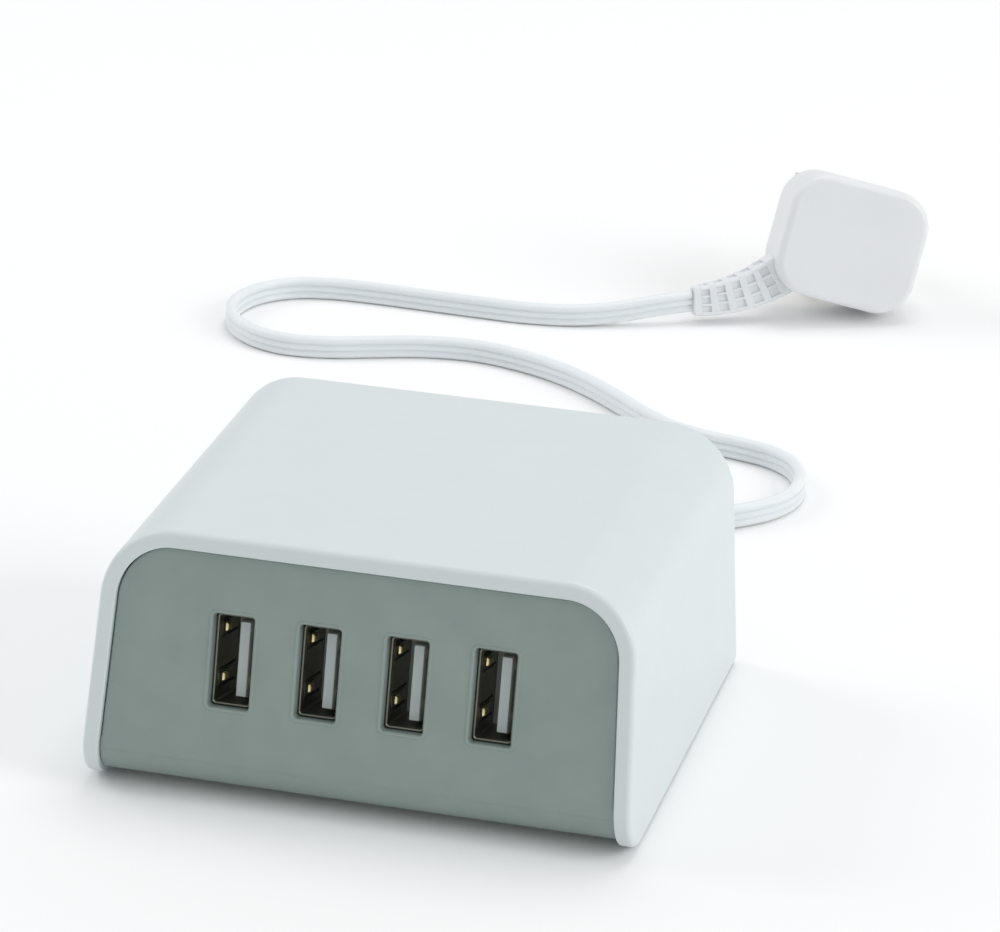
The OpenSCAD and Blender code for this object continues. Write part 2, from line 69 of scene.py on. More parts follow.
# Case, from the frame
shell_low, shell_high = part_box("top_shell")
LOW_Z = shell_low.z
TOP_Z = shell_high.z
REAR_Y = shell_high.y
REAR_WALL_Y = REAR_Y - WALL
# Half width at the foot, as if the lower edge were sharp
HALF_W = shell_high.x + EDGE * (math.cos(SIDE_LEAN) + math.sin(SIDE_LEAN) - 1)
ROLL_Y = shell_low.y + ROLL_R
# Where the plane of the front's flat part meets the level of the shell's foot
FOOT_Y = ROLL_Y - ROLL_R * (math.tan(FRONT_LEAN) + 1 / math.cos(FRONT_LEAN))

# USB ports. Sizes are (across, up the front's slope), and fronts are measured behind the rim's face
PORTS = (1, 2, 3, 4)
PORT_PITCH = 12.7 * MM
PORT_S = 21.1 * MM  # middle of a port, up the slope
SLOT = (6.02 * MM, 13.4 * MM)
USB_IN = (5.12 * MM, 12.5 * MM)
USB_WALL = 0.3 * MM
USB_FRONT = 2.3 * MM
USB_LENGTH = 14 * MM
TONGUE = (1.84 * MM, 11.1 * MM)
TONGUE_X = USB_IN[0] / 2 - 0.7 * MM - TONGUE[0]
TONGUE_FRONT = USB_FRONT + 1.4 * MM
INSULATOR_T = 3.7 * MM
TONGUE_MIDDLE = TONGUE_X + TONGUE[0] / 2
INSULATOR_FRONT = USB_FRONT + USB_LENGTH - USB_WALL - INSULATOR_T
CONTACT_S = (-3.5 * MM, -1 * MM, 1 * MM, 3.5 * MM)
CONTACT_W = 1 * MM
CONTACT_L = 6.2 * MM
SPRING_S = (-3.2 * MM, 4.05 * MM)
SPRING_W = 1.7 * MM
SPRING_T = 0.2 * MM
BUMP = (1.7 * MM, 1.35 * MM)  # (along the port, up the slope)
BUMP_Y = 3.6 * MM

# Mains lead
CORD_W = 4 * MM
CORD_T = 2 * MM
CORD_ROUTE = [
    (17, 59, 4.4), (17, 65, 3.5), (17.8, 71, 2.4), (20.5, 76.5, 2.05), (25, 80.3, 2),
    (30, 83.5, 2), (34.3, 88, 2), (36.6, 93.6, 2), (36.4, 99.8, 2), (33.8, 105.2, 2),
    (29, 108.8, 2), (23.2, 110.6, 2), (17, 112, 2), (11, 114.6, 2), (5.4, 118.8, 2),
    (0, 123.8, 2), (-6, 129, 2), (-13, 133.8, 2), (-21, 137.4, 2), (-29.8, 139.4, 2),
    (-38.8, 138.6, 2), (-47.4, 135.8, 2), (-55.6, 133, 2), (-63.6, 132.4, 2), (-70.6, 135.2, 2),
    (-75.4, 140.6, 2), (-77, 147.4, 2), (-75, 154, 2), (-69.8, 158.8, 2), (-62.8, 160.8, 2),
    (-54, 161, 2), (-45, 160.6, 2), (-36, 160.2, 2), (-27, 160, 2), (-18.4, 161.2, 2.05),
    (-10.8, 163.9, 2.5), (-4.2, 167, 3.4), (2, 170, 4.0407),
]  # in mm, from the bushing's tip to the mouth of the plug's relief
BUSH_END = Vector(CORD_ROUTE[0]) * MM
BUSH_START = Vector((BUSH_END.x, REAR_Y, 7.5 * MM))

# Plug, in its own frame: the cover faces -Y and the pins point to +Y
PLUG_W = 26 * MM
PLUG_H = 22.4 * MM
PLUG_R = 6.5 * MM
PLUG_HALF_T = 6 * MM
PLUG_ROLL = math.radians(16.5)
PLUG_LEAN = math.radians(13)
PLUG_TURN = math.radians(25)
BLADE = (1.52 * MM, 16 * MM, 6.35 * MM)  # (thickness, length, width)
BLADE_GAP = 12.7 * MM
BLADE_Z = 5.55 * MM
GROUND_Z = BLADE_Z - 11.9 * MM
GROUND_D = 4.75 * MM
GROUND_L = 18.6 * MM
RELIEF_L = 16 * MM
RELIEF_ROOT = (5.4 * MM, 7.4 * MM)
RELIEF_TIP = (3.4 * MM, 5.2 * MM)
# The relief begins at the plug's lower left corner and bends up until the lead lies level
RELIEF_START = Vector((
    -PLUG_W / 2 + PLUG_R * (1 - math.cos(math.pi / 4)), PLUG_HALF_T,
    -PLUG_H / 2 + PLUG_R * (1 - math.sin(math.pi / 4)),
))
RELIEF_TURN = math.pi / 4 - PLUG_ROLL
RELIEF_BEND_R = RELIEF_L / RELIEF_TURN


# ---------- shapes ----------


class Shape:
    """Points and faces of a piece while it is put together from rings."""

    def __init__(self):
        self.points = []
        self.faces = []

    def ring(self, points):
        start = len(self.points)
        self.points += [Vector(p) for p in points]
        return list(range(start, len(self.points)))

    def join(self, a, b, closed=True):
        count = len(a)
        for i in range(count if closed else count - 1):
            k = (i + 1) % count
            self.faces.append((a[i], a[k], b[k], b[i]))

    def loft(self, rings, caps=True):
        made = [self.ring(r) for r in rings]
        for a, b in zip(made, made[1:]):
            self.join(a, b)
        if caps:
            self.faces.append(tuple(made[0]))
            self.faces.append(tuple(made[-1]))
        return made

    def sheet(self, *rings):
        """Flat face inside the first ring, with the other rings as holes in it."""
        order = [i for ring in rings for i in ring]
        for tri in tessellate_polygon([[self.points[i] for i in ring] for ring in rings]):
            self.faces.append(tuple(order[k] for k in tri))

    def plate(self, outline, holes, outer, inner):
        """Plate with holes. outline(inset, depth) and each hole(inset, depth) give a ring of points.

        outer and inner list (inset, depth) from the front face to the back face, for the edge and the holes.
        """
        edge = [self.ring(outline(inset, depth)) for inset, depth in outer]
        bores = [[self.ring(hole(inset, depth)) for inset, depth in inner] for hole in holes]
        for rings in [edge, *bores]:
            for a, b in zip(rings, rings[1:]):
                self.join(a, b)
        for end in (0, -1):
            self.sheet(edge[end], *[rings[end] for rings in bores])

    def build(self, name, material, sharp=40):
        mesh = bpy.data.meshes.new(name)
        mesh.from_pydata([tuple(p) for p in self.points], [], self.faces)
        mesh.materials.append(material)
        made = bmesh.new()
        made.from_mesh(mesh)
        bmesh.ops.remove_doubles(made, verts=made.verts, dist=1e-7)
        bmesh.ops.recalc_face_normals(made, faces=made.faces)
        made.to_mesh(mesh)
        made.free()
        mesh.shade_smooth()
        mesh.set_sharp_from_angle(angle=math.radians(sharp))
        obj = bpy.data.objects.new(name, mesh)
        bpy.context.scene.collection.objects.link(obj)
        normals = obj.modifiers.new("even normals", "WEIGHTED_NORMAL")
        normals.keep_sharp = True
        return obj


def settle(obj, slot, *nodes):
    """Joins a piece to the charger, in place of the CAD nodes it stands for."""
    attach(obj, "root")
    if nodes:
        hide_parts(*nodes)
    return obj


def circle(radius, steps):
    return [
        (radius * math.cos(2 * math.pi * k / steps), radius * math.sin(2 * math.pi * k / steps))
        for k in range(steps)
    ]


def rounded_rect(width, height, radius, steps=6):
    """Outline of a rounded rectangle about the origin."""
    radius = min(radius, width / 2, height / 2)
    points = []
    for quarter, (sx, sy) in enumerate(((1, 1), (-1, 1), (-1, -1), (1, -1))):
        for k in range(steps + 1):
            a = math.pi / 2 * (quarter + k / steps)
            points.append((
                sx * (width / 2 - radius) + radius * math.cos(a),
                sy * (height / 2 - radius) + radius * math.sin(a),
            ))
    return points


def fillet(radius, steps=5, start=0.0):
    """(inset, depth) pairs round an edge, from the face to the side, beginning at depth start."""
    pairs = []
    for k in range(steps + 1):
        a = math.pi / 2 * k / steps
        pairs.append((radius * (1 - math.sin(a)), start + radius * (1 - math.cos(a))))
    return pairs


def smooth_line(points, steps):
    """Catmull-Rom curve through the points."""
    ends = [2 * points[0] - points[1]] + points + [2 * points[-1] - points[-2]]
    line = []
    for a, b, c, d in zip(ends, ends[1:], ends[2:], ends[3:]):
        for k in range(steps):
            t = k / steps
            line.append(0.5 * (
                2 * b + (c - a) * t + (2 * a - 5 * b + 4 * c - d) * t * t
                + (3 * b - a - 3 * c + d) * t ** 3
            ))
    return line + [points[-1]]


def line_length(line):
    return sum((b - a).length for a, b in zip(line, line[1:]))


def sweep(line, section, up=Vector((0, 0, 1))):
    """Rings along a line. section(k) gives the (across, up) points of ring k."""
    rings = []
    for k, point in enumerate(line):
        ahead = (line[min(k + 1, len(line) - 1)] - line[max(k - 1, 0)]).normalized()
        across = ahead.cross(up).normalized()
        upward = across.cross(ahead)
        rings.append([point + across * u + upward * v for u, v in section(k)])
    return rings


# ---------- materials ----------


class Nodes:
    """Shorthand for building a material's nodes."""

    def __init__(self, name):
        self.material = bpy.data.materials.new(name)
        self.material.use_nodes = True
        self.tree = self.material.node_tree
        self.shader = self.tree.nodes["Principled BSDF"]
        self.place = self.add("ShaderNodeTexCoord").outputs["Object"]

    def add(self, kind, **values):
        made = self.tree.nodes.new(kind)
        for key, value in values.items():
            setattr(made, key, value)
        return made

    def link(self, source, target):
        self.tree.links.new(source, target)

    def stretched(self, stretch):
        """The object's coordinates, scaled differently along each axis."""
        mapping = self.add("ShaderNodeMapping")
        mapping.inputs["Scale"].default_value = stretch
        self.link(self.place, mapping.inputs["Vector"])
        return mapping.outputs["Vector"]

    def noise(self, scale, detail=3, stretch=None):
        made = self.add("ShaderNodeTexNoise")
        made.inputs["Scale"].default_value = scale
        made.inputs["Detail"].default_value = detail
        self.link(self.stretched(stretch) if stretch else self.place, made.inputs["Vector"])
        return made.outputs["Fac"]

    def ramp(self, value, low, high, start=0.3, end=0.7):
        made = self.add("ShaderNodeValToRGB")
        made.color_ramp.elements[0].position = start
        made.color_ramp.elements[0].color = (*low, 1)
        made.color_ramp.elements[1].position = end
        made.color_ramp.elements[1].color = (*high, 1)
        self.link(value, made.inputs["Fac"])
        return made.outputs["Color"]

    def spread(self, value, low, high):
        made = self.add("ShaderNodeMapRange")
        made.inputs["To Min"].default_value = low
        made.inputs["To Max"].default_value = high
        self.link(value, made.inputs["Value"])
        return made.outputs["Result"]

    def bump(self, height, distance, strength=1.0):
        made = self.add("ShaderNodeBump")
        made.inputs["Distance"].default_value = distance
        made.inputs["Strength"].default_value = strength
        self.link(height, made.inputs["Height"])
        self.link(made.outputs["Normal"], self.shader.inputs["Normal"])


def shaded(colour, factor):
    return tuple(min(1, c * factor) for c in colour)


def surface(name, colour, roughness, grain=3500, relief=0.008 * MM, tint=0.03, stretch=None, **extra):
    """Moulded or plated surface: a fine grain in its height, colour and gloss. extra sets shader sockets."""
    n = Nodes(name)
    fine = n.noise(grain, stretch=stretch)
    broad = n.noise(grain / 25, detail=2)
    n.link(n.ramp(broad, shaded(colour, 1 - tint), shaded(colour, 1 + tint)), n.shader.inputs["Base Color"])
    n.link(n.spread(fine, roughness - 0.05, roughness + 0.05), n.shader.inputs["Roughness"])
    n.bump(fine, relief)
    for socket, value in extra.items():
        n.shader.inputs[socket].default_value = value
    return n.material


def soft_white(name, colour, roughness, glow=0.35):
    """White plastic that lets a little light through."""
    return surface(
        name, colour, roughness, grain=2600, relief=0.004 * MM, tint=0.012,
        **{"Subsurface Weight": glow, "Subsurface Scale": 0.8 * MM, "Subsurface Radius": (1.0, 0.95, 0.9),
           "IOR": 1.46},
    )


def brushed(name, colour, roughness, stretch):
    """Plated or drawn metal, with a grain that stretch draws out into fine lines."""
    return surface(
        name, colour, roughness, grain=900, relief=0.006 * MM, tint=0.08, stretch=stretch, Metallic=1.0)


def board_material(name, colour):
    """Solder mask over a grid of copper traces, with pads."""
    n = Nodes(name)
    traces = n.add("ShaderNodeTexBrick")
    traces.inputs["Color1"].default_value = (*shaded(colour, 1.5), 1)
    traces.inputs["Color2"].default_value = (*shaded(colour, 1.25), 1)
    traces.inputs["Mortar"].default_value = (*colour, 1)
    traces.inputs["Scale"].default_value = 90
    traces.inputs["Mortar Size"].default_value = 0.03
    n.link(n.place, traces.inputs["Vector"])
    n.link(traces.outputs["Color"], n.shader.inputs["Base Color"])
    n.link(n.spread(n.noise(1800), 0.25, 0.4), n.shader.inputs["Roughness"])
    n.bump(traces.outputs["Fac"], 0.03 * MM)
    return n.material


def banded(name, colour, stripe, scale, roughness):
    """Bands that run round a part: wound tape, wire turns or a printed sleeve stripe."""
    n = Nodes(name)
    wave = n.add("ShaderNodeTexWave", bands_direction="Z", wave_profile="SAW")
    wave.inputs["Scale"].default_value = scale
    wave.inputs["Distortion"].default_value = 0.4
    n.link(n.place, wave.inputs["Vector"])
    n.link(n.ramp(wave.outputs["Fac"], colour, stripe, 0.55, 0.75), n.shader.inputs["Base Color"])
    n.link(n.spread(n.noise(2500), roughness - 0.06, roughness + 0.06), n.shader.inputs["Roughness"])
    n.bump(wave.outputs["Fac"], 0.03 * MM)
    return n.material


def make_materials():
    return {
        "shell_white": surface(
            "shell white", (0.66, 0.715, 0.725), 0.36, grain=4200, relief=0.003 * MM, tint=0.008),
        "panel_grey": surface(
            "panel grey", (0.257, 0.316, 0.294), 0.5, grain=3800, relief=0.012 * MM, tint=0.035,
            stretch=(0.35, 1, 1)),
        "base_white": surface("base white", (0.66, 0.69, 0.69), 0.5, grain=2500, relief=0.02 * MM),
        "foot_rubber": surface("foot rubber", (0.03, 0.03, 0.032), 0.75, grain=3000, relief=0.03 * MM),
        "screw_steel": brushed("screw steel", (0.5, 0.5, 0.52), 0.35, (1, 1, 0.2)),
        "circuit_board": board_material("circuit board", (0.02, 0.10, 0.045)),
        "insulation": surface("insulation", (0.70, 0.62, 0.35), 0.3, grain=900),
        "port_steel": brushed("port steel", (0.30, 0.29, 0.245), 0.4, (1, 0.15, 1)),
        # Brass for the spring bumps alone, while their leaves use port steel: a painted highlight on one
        # piece of metal
        "spring_brass": brushed("spring bump highlight brass", (0.86, 0.74, 0.40), 0.3, (1, 0.2, 1)),
        "port_insulator": surface(
            "port insulator", (0.52, 0.58, 0.57), 0.42, grain=3000, relief=0.006 * MM, tint=0.02),
        "contact_gold": brushed("contact gold", (0.83, 0.60, 0.22), 0.25, (1, 0.2, 1)),
        "chip_black": surface("chip black", (0.02, 0.02, 0.02), 0.6, grain=3500, relief=0.01 * MM),
        "lead_covering": surface("lead covering", (0.12, 0.05, 0.04), 0.4, grain=2500),
        "ferrite": surface("ferrite", (0.07, 0.07, 0.08), 0.7, grain=2200, relief=0.04 * MM),
        "winding_tape": banded("winding tape", (0.75, 0.52, 0.08), (0.62, 0.42, 0.06), 120, 0.35),
        "capacitor_sleeve": banded("capacitor sleeve", (0.03, 0.05, 0.09), (0.04, 0.065, 0.12), 30, 0.3),
        "fuse_brown": surface("fuse brown", (0.12, 0.05, 0.03), 0.4, grain=1500),
        "disc_blue": surface("disc blue", (0.04, 0.12, 0.40), 0.35, grain=1200, relief=0.03 * MM),
        "box_yellow": surface("box yellow", (0.62, 0.46, 0.09), 0.4, grain=1800),
        "copper_wire": banded("copper wire", (0.65, 0.28, 0.12), (0.45, 0.18, 0.08), 160, 0.3),
        "heat_sink": brushed("heat sink", (0.62, 0.64, 0.66), 0.4, (0.2, 1, 1)),
        "optocoupler_white": surface("optocoupler white", (0.75, 0.75, 0.72), 0.5),
        "bushing_white": soft_white("bushing white", (0.77, 0.79, 0.81), 0.42),
        "cord_white": soft_white("cord white", (0.78, 0.81, 0.83), 0.38, glow=0.5),
        "plug_white": soft_white("plug white", (0.77, 0.78, 0.79), 0.36),
        "pin_brass": brushed("pin brass", (0.72, 0.66, 0.50), 0.25, (1, 0.2, 1)),
    }


# ---------- camera, light and floor ----------


def look_back(azimuth, elevation):
    """Direction from the charger towards an eye at these angles, in degrees. Azimuth 0 is the front."""
    a, e = math.radians(azimuth), math.radians(elevation)
    return Vector((math.sin(a) * math.cos(e), -math.cos(a) * math.cos(e), math.sin(e)))


def make_camera():
    centre = Vector((-13.0, 93.3, 1.0)) * MM
    distance = 0.7443
    tilt = math.radians(1.2)
    back = look_back(azimuth=14.7, elevation=23.2)
    camera = bpy.data.objects.new("camera", bpy.data.cameras.new("camera"))
    bpy.context.scene.collection.objects.link(camera)
    camera.data.sensor_width = 36
    camera.data.lens = 161.4
    camera.location = centre + back * distance
    camera.rotation_mode = "QUATERNION"
    camera.rotation_quaternion = (-back).to_track_quat("-Z", "Y") @ Quaternion((0, 0, 1), tilt)
    bpy.context.scene.camera = camera


def area_light(name, azimuth, elevation, distance, size, power):
    """Round soft light, aimed between the case and the lead's bends."""
    target = Vector((0, 60, 10)) * MM
    light = bpy.data.objects.new(name, bpy.data.lights.new(name, "AREA"))
    bpy.context.scene.collection.objects.link(light)
    light.data.shape = "DISK"
    light.data.size = size
    light.data.energy = power
    back = look_back(azimuth, elevation)
    light.location = target + back * distance
    light.rotation_mode = "QUATERNION"
    light.rotation_quaternion = (-back).to_track_quat("-Z", "Y")


def make_studio():
    """White floor under an even sky, with a soft key light from behind and a fill on each side."""
    scene = bpy.context.scene
    scene.view_settings.view_transform = "Standard"
    world = bpy.data.worlds.new("studio")
    world.use_nodes = True
    world.node_tree.nodes["Background"].inputs["Color"].default_value = (0.97, 0.99, 1.0, 1)
    world.node_tree.nodes["Background"].inputs["Strength"].default_value = 0.64
    scene.world = world
    area_light("key", azimuth=165, elevation=72, distance=1.1, size=0.6, power=2.7)
    area_light("right", azimuth=84, elevation=30, distance=1.3, size=0.8, power=5.2)
    area_light("left", azimuth=-98, elevation=36, distance=1.3, size=0.8, power=3.4)
    reach = 4.0
    floor = Shape()
    floor.faces.append(tuple(floor.ring([
        (-reach, -reach, 0), (reach, -reach, 0), (reach, reach, 0), (-reach, reach, 0)])))
    floor.build("floor", surface("floor", (0.93, 0.93, 0.93), 0.9, grain=60, tint=0.004))


# ---------- mains lead ----------


def ribbed_section(width, thickness, ribs=3, steps=9):
    """Section of a flat lead that stands on its edge: one rib for each conductor."""
    pitch = width / ribs
    reach = pitch * 0.56
    centres = [(k - (ribs - 1) / 2) * (width - 2 * reach) / (ribs - 1) for k in range(ribs)]

    def half(height):
        inside = [1 - ((height - c) / reach) ** 2 for c in centres]
        return thickness / 2 * math.sqrt(max(0, *inside))

    count = ribs * steps
    heights = [-width / 2 * math.cos(math.pi * k / count) for k in range(count + 1)]
    right = [(half(h), h) for h in heights]
    left = [(-half(h), h) for h in reversed(heights[1:-1])]
    return right + left


def make_cord(materials, with_pieces):
    """Flat ribbed mains lead, along its route on the table."""
    line = smooth_line([Vector(p) * MM for p in CORD_ROUTE], 10)
    section = ribbed_section(CORD_W, CORD_T)
    shape = Shape()
    shape.loft(sweep(line, lambda k: section))
    cord = settle(shape.build("mains_cord", materials["cord_white"], 60), "cord_white", "power_cord")
    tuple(line[0])
    line_length(line)


def make_bushing(materials):
    """Tapered strain relief in the rear wall: a collar, then ribs that get narrower."""
    axis = BUSH_END - BUSH_START
    ahead = axis.normalized()
    across = ahead.cross(Vector((0, 0, 1))).normalized()
    upward = across.cross(ahead)
    ribs = 7
    collar = 2.4 * MM
    profile = [(0, 4.2), (0, 4.6), (0.2, 4.8), (1.6, 4.8), (1.9, 4.6), (1.9, 4.0), (2.4, 3.95)]
    profile = [(along * MM, radius * MM) for along, radius in profile]
    pitch = (axis.length - collar) / ribs
    for k in range(ribs):
        for share, sink in ((0.02, 0.55), (0.2, 0.55), (0.24, 0.1), (0.32, 0), (0.92, 0), (1.0, 0.1)):
            along = collar + pitch * (k + share)
            radius = (4.1 - 1.3 * along / axis.length - sink) * MM
            profile.append((along, radius))
    profile.append((axis.length, 2.2 * MM))
    shape = Shape()
    shape.loft([
        [BUSH_START + ahead * along + across * u + upward * v for u, v in circle(radius, 40)]
        for along, radius in profile])
    return settle(shape.build("rear_bushing", materials["bushing_white"]), "bushing_white", "cord_bushing")


# ---------- plug ----------


def relief_point(share):
    """Middle of the plug's strain relief in the plug's frame: it bends until it lies level."""
    begin = math.radians(315)
    a = begin - RELIEF_TURN * share
    return RELIEF_START + RELIEF_BEND_R * Vector((
        math.cos(a) - math.cos(begin), 0, math.sin(a) - math.sin(begin)))


def plug_frame():
    """Matrix that puts the plug on the table, with the lead's end in the mouth of its relief."""
    turns = (
        Matrix.Rotation(PLUG_TURN, 4, "Z") @ Matrix.Rotation(-PLUG_LEAN, 4, "X")
        @ Matrix.Rotation(PLUG_ROLL, 4, "Y")
    )
    mouth = Vector(CORD_ROUTE[-1]) * MM
    return Matrix.Translation(mouth - turns @ relief_point(1)) @ turns


def plug_ring(inset, depth):
    """Outline of the plug, drawn in by inset, at a depth behind the cover's face."""
    outline = rounded_rect(PLUG_W - 2 * inset, PLUG_H - 2 * inset, PLUG_R - inset, 12)
    return [Vector((x, depth, z)) for x, z in outline]


def plug_half(name, place, materials, node, stations):
    """One half of the plug's shell. stations lists its (inset, depth) from front to back."""
    shape = Shape()
    shape.loft([[place @ p for p in plug_ring(inset, depth)] for inset, depth in stations])
    return settle(shape.build(name, materials["plug_white"]), "plug_white", node)


def make_plug_relief(place, materials):
    """Strain relief with five rows of small windows, three across each wide face."""
    rows = 5
    columns = 3
    sink = 0.42 * MM
    rows_end = 0.94
    root_overlap = 2 * MM
    line = [RELIEF_START + Vector((1, 0, 1)) * root_overlap * math.sqrt(0.5)]
    sunk = [0]
    for k in range(rows):
        for share, depth in ((0.0, 0), (0.28, 0), (0.32, 1), (0.84, 1), (0.88, 0)):
            line.append(relief_point((k + share) / rows * rows_end))
            sunk.append(depth)
    line += [relief_point(share) for share in (rows_end, 0.985, 1)]
    sunk += [0, 0, 0]

    def face(length, cells):
        """(position, is it in a window) along one face of the section."""
        marks = [(-length / 2, False)]
        for k in range(cells):
            for share, window in ((0.1, False), (0.16, True), (0.84, True), (0.9, False)):
                marks.append(((k + share) / cells * length - length / 2, window))
        return marks

    def section(k):
        share = k / (len(line) - 1)
        t, h = [root + (tip - root) * share for root, tip in zip(RELIEF_ROOT, RELIEF_TIP)]
        edge = 0.5 * MM
        if k == len(line) - 1:
            t, h = t - edge, h - edge
        points = []
        for side in (1, -1):
            for v, window in face(h - 2 * edge, columns) + [((h - 2 * edge) / 2, False)]:
                points.append((side * (t / 2 - sunk[k] * window * sink), side * v))
            points.append((side * (t / 2 - edge * 0.3), side * (h / 2 - edge * 0.3)))
            for u, window in face(t - 2 * edge, 1) + [((t - 2 * edge) / 2, False)]:
                points.append((-side * u, side * (h / 2 - sunk[k] * window * sink)))
            points.append((-side * (t / 2 - edge * 0.3), side * (h / 2 - edge * 0.3)))
        return points

    shape = Shape()
    shape.loft([[place @ p for p in ring] for ring in sweep(line, section)])
    return settle(
        shape.build("plug_relief", materials["bushing_white"], 30), "bushing_white", "plug_strain_relief")


def make_blades(place, materials):
    """Two flat blades with softened edges, sloping ends and a hole near the end."""
    half_h = BLADE[2] / 2
    hole_at = BLADE[1] - 4 * MM
    shape = Shape()
    for side in (-1, 1):
        def put(depth, y, z):
            x = side * BLADE_GAP / 2 - BLADE[0] / 2 + depth
            return place @ Vector((x, 2 * PLUG_HALF_T + y, BLADE_Z + z))

        def outline(inset, depth):
            end = BLADE[1] - inset
            half = half_h - inset
            slope = 1.3 * MM
            return [put(depth, y, z) for y, z in (
                (-1 * MM, -half), (end - slope, -half), (end, -half + slope),
                (end, half - slope), (end - slope, half), (-1 * MM, half))]

        def hole(inset, depth):
            return [put(depth, hole_at + y, z) for y, z in circle(1.5 * MM + inset, 24)]

        edge = 0.22 * MM
        stations = [(edge, 0), (0, edge), (0, BLADE[0] - edge), (edge, BLADE[0])]
        shape.plate(outline, [hole], stations, stations)
    return settle(shape.build("blades", materials["pin_brass"], 20), "pin_brass", "plug_blades")


def make_ground_pin(place, materials):
    """Round pin with a domed tip."""
    radius = GROUND_D / 2
    tip = 2.2 * MM
    steps = 8
    profile = [(-0.5 * MM, radius), (GROUND_L - tip, radius)]
    for k in range(1, steps + 1):
        a = math.pi / 2 * k / steps
        profile.append((GROUND_L - tip * (1 - math.sin(a)), radius * (0.55 + 0.45 * math.cos(a))))
    profile.append((GROUND_L, 0.4 * MM))
    shape = Shape()
    shape.loft([
        [place @ Vector((x, 2 * PLUG_HALF_T + along, GROUND_Z + z)) for x, z in circle(r, 32)]
        for along, r in profile])
    return settle(shape.build("earth_pin", materials["pin_brass"]), "pin_brass", "ground_pin")


def make_plug(materials):
    """The plug's cover and body with a fine joint between them, its relief and its pins."""
    place = plug_frame()
    soft = 0.25 * MM
    joint = PLUG_HALF_T - 0.02 * MM
    step = 0.22 * MM
    edge = 1 * MM
    back = 2 * PLUG_HALF_T
    cover_line = fillet(1.3 * MM, 7) + [(0, PLUG_HALF_T - soft), (soft, joint)]
    body_line = [(0.5 * MM, joint), (step, PLUG_HALF_T + soft), (step, back - edge)]
    body_line += [(step + inset, back - depth) for inset, depth in reversed(fillet(edge, 5))]
    cover = plug_half("plug_front", place, materials, "plug_cover", cover_line)
    body = plug_half("plug_back", place, materials, "plug_body", body_line)
    relief = make_plug_relief(place, materials)
    return [cover, body, relief, make_blades(place, materials), make_ground_pin(place, materials)]


# ---------- case ----------


def side_x(z, inset):
    """Where the right side wall's surface at an inset from the outside is, at a height."""
    return HALF_W - (z - LOW_Z) * math.tan(SIDE_LEAN) - inset / math.cos(SIDE_LEAN)


def front_y(z, depth):
    """Where the flat part of the front is at a height, at a depth behind its face."""
    return FOOT_Y + (z - LOW_Z) * math.tan(FRONT_LEAN) + depth / math.cos(FRONT_LEAN)


def roll(depth, steps=20):
    """(y, z) up round the rolled lower edge of the front, at a depth behind its face."""
    angles = [-math.pi / 2 - (math.pi / 2 + FRONT_LEAN) * k / steps for k in range(steps + 1)]
    radius = ROLL_R - depth
    return [(ROLL_Y + radius * math.cos(a), LOW_Z + ROLL_R + radius * math.sin(a)) for a in angles]


def corner(inset, steps=24):
    """(x, z) round the right top corner of the case, from its side to its roof."""
    centre_z = TOP_Z - CORNER_R
    centre_x = HALF_W - (centre_z - LOW_Z) * math.tan(SIDE_LEAN) - CORNER_R / math.cos(SIDE_LEAN)
    radius = CORNER_R - inset
    angles = [SIDE_LEAN + (math.pi / 2 - SIDE_LEAN) * k / steps for k in range(steps + 1)]
    return [(centre_x + radius * math.cos(a), centre_z + radius * math.sin(a)) for a in angles]


def mirrored(right):
    """The right half of a line, then its mirror image back down the left."""
    return right + [Vector((-p.x, p.y, p.z)) for p in reversed(right)]


def rim_line(inset, depth):
    """Line along the lower end of one side wall, up round the front and down to the other wall's end."""
    z = LOW_Z + depth
    right = [Vector((side_x(z, inset), REAR_WALL_Y, z))]
    right += [Vector((side_x(z, inset), y, z)) for y, z in roll(depth)]
    right += [Vector((x, front_y(z, depth), z)) for x, z in corner(inset)]
    return mirrored(right)


def outline(inset, y):
    """Closed outline of the case seen from the rear, drawn in by inset."""
    right = []
    for across, up in fillet(EDGE - inset):
        z = LOW_Z + inset + up
        right.append(Vector((side_x(z, inset + across), y, z)))
    right += [Vector((side_x(z, inset), y, z)) for _, z in roll(EDGE)[1:]]
    right += [Vector((x, y, z)) for x, z in corner(inset)]
    return mirrored(right)


def flattened(line, y):
    """The line as seen from the rear, in a plane at y."""
    return [Vector((p.x, y, p.z)) for p in line]


def make_shell(materials):
    """Arched shell: a soft rim that rolls under the side walls, and a rear wall."""
    outer = fillet(EDGE)[::-1]
    inner = [(WALL - inset, depth) for inset, depth in fillet(INNER_EDGE, 3)]
    shape = Shape()

    # The rim, round both its edges, and the inside of the arch back to the rear wall
    rim = [shape.ring(rim_line(inset, depth)) for inset, depth in outer + inner]
    for a, b in zip(rim, rim[1:]):
        shape.join(a, b, closed=False)
    inside = shape.ring(flattened(rim_line(*inner[-1]), REAR_WALL_Y))
    shape.join(rim[-1], inside, closed=False)

    # The inner face of the rear wall
    right_end, left_end = [[line[end] for line in rim[len(outer):]] for end in (0, -1)]
    shape.faces.append(tuple(right_end + inside[1:-1] + left_end[::-1]))

    # The outside of the arch, then the rear wall with its soft edge
    rear = shape.ring(flattened(rim_line(*outer[0]), REAR_WALL_Y))
    shape.join(rim[0], rear, closed=False)
    back = [shape.ring(outline(0, REAR_WALL_Y))]
    back += [shape.ring(outline(inset, REAR_Y - depth)) for inset, depth in fillet(EDGE)[::-1]]
    for a, b in zip(back, back[1:]):
        shape.join(a, b, closed=False)
    shape.faces.append((back[0][0], right_end[0], left_end[0], back[0][-1], back[1][-1], back[1][0]))
    for a, b in zip(back[1:], back[2:]):
        shape.faces.append((a[-1], a[0], b[0], b[-1]))
    shape.faces.append(tuple(back[-1]))
    settle(shape.build("case_shell", materials["shell_white"]), "shell_white", "top_shell")


